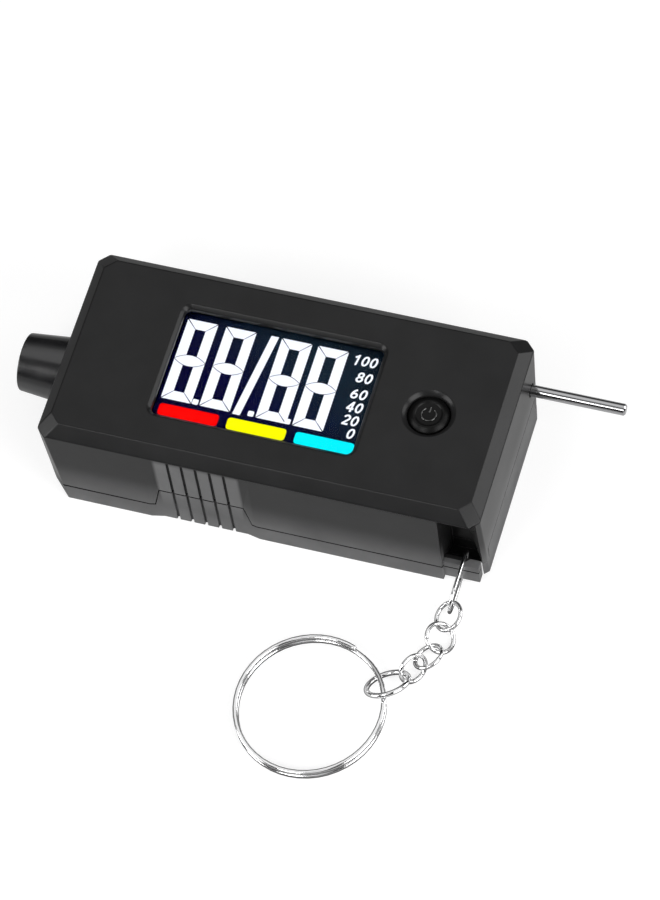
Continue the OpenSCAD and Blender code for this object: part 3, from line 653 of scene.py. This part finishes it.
def make_display_glass():
    """The display's glass: a lower plate and a slightly smaller one on it."""
    low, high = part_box("lcd_panel")
    top = high.z - GLASS_DROP * MM
    middle = (low + high) / 2
    bm = bmesh.new()
    for z0, z1, inset in ((low.z, middle.z, 0.0), (middle.z, top, GLASS_LEDGE * MM)):
        for v in bmesh.ops.create_cube(bm, size=1)["verts"]:
            v.co.x = middle.x + v.co.x * (high.x - low.x - 2 * inset)
            v.co.y = middle.y + v.co.y * (high.y - low.y - 2 * inset)
            v.co.z = (z0 + z1) / 2 + v.co.z * (z1 - z0)
    bmesh.ops.bevel(bm, geom=bm.edges, offset=GLASS_RADIUS * MM, segments=2, affect="EDGES")
    mesh = mesh_of(bm, "display_module")
    even_normals(new_piece("display_module", mesh, "housing", "display_glass", "lcd_panel"))


def make_display():
    make_display_glass()
    white = lit("lit_white", LIT_WHITE, strength=1.1)

    digits = []
    for left in DIGIT_LEFTS:
        digits += digit_outlines(left)
    digits.append(slash_outline())
    for x in POINT_MIDDLES:
        left = x - POINT_SIZE / 2
        top = DIGIT_FOOT + POINT_SIZE
        digits.append(rounded_bar(left, DIGIT_FOOT, left + POINT_SIZE, top, POINT_RADIUS))
    lit_plates("display_digits", digits, white)

    numbers = []
    for text, row in SCALE:
        numbers += number_outlines(text, row)
    lit_plates("display_scale", numbers, white)

    for name, left, right, colour in BARS:
        outline = rounded_bar(left, BAR_FOOT, right, BAR_TOP, BAR_RADIUS)
        lit_plates(name, [outline], lit("lit_" + name, colour, strength=1.05))


# Button: a soft shoulder, and a mark of a raised ring open at the top with a stroke in the opening

CAP_LOW, CAP_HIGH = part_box("button_cap")
CAP_MIDDLE = (CAP_LOW + CAP_HIGH) / 2
SHOULDER_WIDTH = 0.45 * MM
SHOULDER_DROP = 0.25 * MM
CHAMFER_INSIDE = 2.5 * MM
CHAMFER_OUTSIDE = 3.3 * MM
CHAMFER_DEPTH = 0.4 * MM
TOP_FACE_DEPTH = 0.01 * MM
MARK_DEPTH = 0.25 * MM
MARK_RADIUS = 1.2 * MM
MARK_WIRE = 0.17 * MM
STROKE_START = 0.3 * MM
STROKE_STEP = 0.1 * MM


def domed(point):
    """Widens the chamfer round the button cap into a soft shoulder."""
    out = Vector((point.x - CAP_MIDDLE.x, point.y - CAP_MIDDLE.y, 0))
    depth = CAP_HIGH.z - point.z
    if out.length > CHAMFER_INSIDE and depth < TOP_FACE_DEPTH:
        return point - out.normalized() * SHOULDER_WIDTH
    if out.length > CHAMFER_OUTSIDE and depth < CHAMFER_DEPTH:
        return point - Vector((0, 0, SHOULDER_DROP))
    return point


def make_button_mark():
    face = CAP_HIGH.z - MARK_DEPTH
    ring = arc(CAP_MIDDLE, MARK_RADIUS, start=125, end=415, steps=48)
    stroke = [(CAP_MIDDLE.x, CAP_MIDDLE.y + STROKE_START + STROKE_STEP * i) for i in range(12)]
    gloss = moulded("button_mark", MARK_BLACK, roughness=0.15, relief=0.0005 * MM, specular=1.0)
    for name, line in (("button_mark_ring", ring), ("button_mark_stroke", stroke)):
        mark = tube(name, [Vector((x, y, face)) for x, y in line], MARK_WIRE, "button", "button_plastic")
        wear(mark, "button_plastic", gloss)


# Key ring and chain

# Where each wire loop is cut, as an angle round the loop
LOOP_CUTS = {
    "chain_link_1": 0.4,
    "chain_link_2": 2.2,
    "chain_link_3": 4.0,
    "chain_link_4": 5.1,
    "end_link": 1.2,
    "lanyard_ring": 0.3,
}
CUT_GAP = 0.12 * MM

# The wire is drawn a little thinner than the CAD's, so that it stays inside the solid it stands for
WIRE_SHARE = 0.99


def loop_of(node):
    """A flat wire loop's sizes from its CAD solid.

    Gives its centre, long way, cross way, end radius, straight length and wire radius.
    """
    points = np.array([v.co for v in nodes[node].data.vertices])
    axes = np.linalg.svd(points - points.mean(0), full_matrices=False)[2]
    places = points @ axes.T
    low, high = places.min(0), places.max(0)
    centre = Vector(((low + high) / 2) @ axes)
    long_half, cross_half, wire = (float(size) / 2 for size in high - low)
    straight = 2 * (long_half - cross_half)
    return centre, Vector(axes[0]), Vector(axes[1]), cross_half - wire, straight, wire


def make_loop(node, cut_turn):
    """A wire bent into a loop until its cut ends almost meet."""
    centre, long_way, cross_way, radius, straight, wire = loop_of(node)
    cut = CUT_GAP / radius
    steps = 96
    points = []
    for i in range(steps + 1):
        turn = cut_turn + cut / 2 + (2 * math.pi - cut) * i / steps
        shift = math.copysign(straight / 2, math.cos(turn))
        along = radius * math.cos(turn) + shift
        points.append(centre + long_way * along + cross_way * radius * math.sin(turn))
    tube(node + "_wire", points, WIRE_SHARE * wire, nodes[node]["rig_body"], "chrome", node)


# Stage

LAMP_AIM = Vector((0, 0, 0.01))

# Name, place, size across and power of each lamp
LAMPS = (
    ("key", (0.5, -0.21, 0.26), 0.45, 2.7),
    ("fill", (-0.49, -0.28, 0.21), 0.4, 1.9),
    ("end", (0.52, 0.27, 0.15), 0.35, 1.05),
    ("front", (-0.13, -0.41, 0.42), 0.2, 0.72),
)

# Brightness of the room by the sine of the height above the horizon
ROOM_LEVELS = ((0.0, 0.022), (0.45, 0.025), (0.66, 0.21), (0.8, 0.66), (1.0, 0.66))

# The room in a mirror: the gaps round it, what closes those at the back, where a gap ends and the white
# starts, and how bright both are
GAPS_ROUND = 4.0
BACK_CLOSED = 3.0
GAP_END = -0.4
WHITE_START = 0.5
GAP_LIGHT = 0.08
WHITE_LIGHT = 1.4

# The floor's colour, away from the part and, as painted shade, in a mirror that all but touches it, and
# its own light, to the eye and in a mirror, where it ends a little way off
FLOOR_HALF = 3.0
FLOOR_DROP = 0.02 * MM
FLOOR_GREY = (0.36, 0.36, 0.36, 1)
FLOOR_CREVICE_SHADE = (0.048, 0.048, 0.048, 1)
FLOOR_TO_EYE = 0.72
FLOOR_IN_MIRRORS = 0.33
CREVICE_START = 2 * MM
CREVICE_END = 10 * MM
NEAR_FLOOR = 26 * MM
FAR_FLOOR = 45 * MM


def make_floor():
    height = cad_box[0].z - FLOOR_DROP
    signs = ((-1, -1), (1, -1), (1, 1), (-1, 1))
    corners = [(FLOOR_HALF * x, FLOOR_HALF * y, height) for x, y in signs]
    mesh = bpy.data.meshes.new("floor")
    mesh.from_pydata(corners, [], [(0, 1, 2, 3)])
    mesh.materials.append(floor_paper())
    floor = bpy.data.objects.new("floor", mesh)
    scene.collection.objects.link(floor)


def floor_paper():
    """White to the eye, grey as a light source, and in mirrors dark with painted shade where it all but
    touches the part and bright only a little way off.
    """
    look = Material("floor_paper")
    look.set(Roughness=0.9, Specular_IOR_Level=0.1, Emission_Color=(1, 1, 1, 1))
    path = look.add("ShaderNodeLightPath")
    mirror = path.outputs["Is Glossy Ray"]
    length = path.outputs["Ray Length"]
    # Painted shade: in a mirror, floor that all but touches the part turns dark
    mirrored_crevice_shade = look.maths("MULTIPLY", mirror, look.remap(length, CREVICE_START, CREVICE_END, 1.0, 0.0))
    look.vary("Base Color", look.blend(mirrored_crevice_shade, FLOOR_GREY, FLOOR_CREVICE_SHADE))
    nearby = look.remap(length, NEAR_FLOOR, FAR_FLOOR, FLOOR_IN_MIRRORS, 0.0)
    mirrored = look.maths("MULTIPLY", look.maths("SUBTRACT", mirror, mirrored_crevice_shade), nearby)
    direct = look.maths("MAXIMUM", path.outputs["Is Camera Ray"], path.outputs["Is Transmission Ray"])
    look.vary("Emission Strength", look.maths("MULTIPLY_ADD", direct, FLOOR_TO_EYE, mirrored))
    return look.material


def make_world():
    """A pale ceiling over a dark room. In mirrors it is white, with two dark gaps in it to the front."""
    world = bpy.data.worlds.new("studio")
    scene.world = world
    world.use_nodes = True
    room = Nodes(world.node_tree)
    background = room.tree.nodes["Background"]
    x, y, z = room.split(room.add("ShaderNodeTexCoord").outputs["Generated"])
    ramp = room.add("ShaderNodeValToRGB")
    room.link(z, ramp, "Fac")
    room.link(ramp.outputs["Color"], background, "Color")
    stops = ramp.color_ramp.elements
    for position, _ in ROOM_LEVELS[1:-1]:
        stops.new(position)
    for stop, (_, level) in zip(stops, ROOM_LEVELS):
        stop.color = (level, level, level, 1)

    gaps = room.maths("COSINE", room.maths("MULTIPLY", room.maths("ARCTAN2", y, x), GAPS_ROUND))
    front_gaps = room.maths("MAXIMUM", gaps, room.maths("MULTIPLY", y, BACK_CLOSED))
    mirrored = room.remap(front_gaps, GAP_END, WHITE_START, GAP_LIGHT, WHITE_LIGHT)
    glossy = room.add("ShaderNodeLightPath").outputs["Is Glossy Ray"]
    change = room.maths("MULTIPLY", glossy, room.maths("SUBTRACT", mirrored, 1.0))
    room.link(room.maths("ADD", change, 1.0), background, "Strength")


def make_lamp(name, at, size, power):
    data = bpy.data.lights.new(name, "AREA")
    data.shape = "DISK"
    data.size = size
    data.energy = power
    lamp = bpy.data.objects.new(name, data)
    scene.collection.objects.link(lamp)
    lamp.location = at
    lamp.rotation_euler = (Vector(at) - LAMP_AIM).to_track_quat("Z", "Y").to_euler()


make_camera()
slots = {subpart["node"]: subpart["material_slot"] for subpart in frame["record"]["subparts"]}
for node, obj in nodes.items():
    wear(obj, slots[node])

finished("top_cover", "black_plastic", 0.2 * MM)
finished("bottom_cover", "black_plastic", FINE_RADIUS)
finished("battery_door", "black_plastic", 0.15 * MM)
finished("nozzle", "chuck_plastic", 0.2 * MM)
finished("button_cap", "button_plastic", 0.12 * MM, reshape=domed, broad_faces=False)
finished("split_ring", "chrome", 0.3 * MM, broad_faces=False)
finished("display_lens", "clear_lens", 0.15 * MM)
make_display()
make_button_mark()
for node, cut_turn in LOOP_CUTS.items():
    make_loop(node, cut_turn)
make_floor()
make_world()
for lamp in LAMPS:
    make_lamp(*lamp)
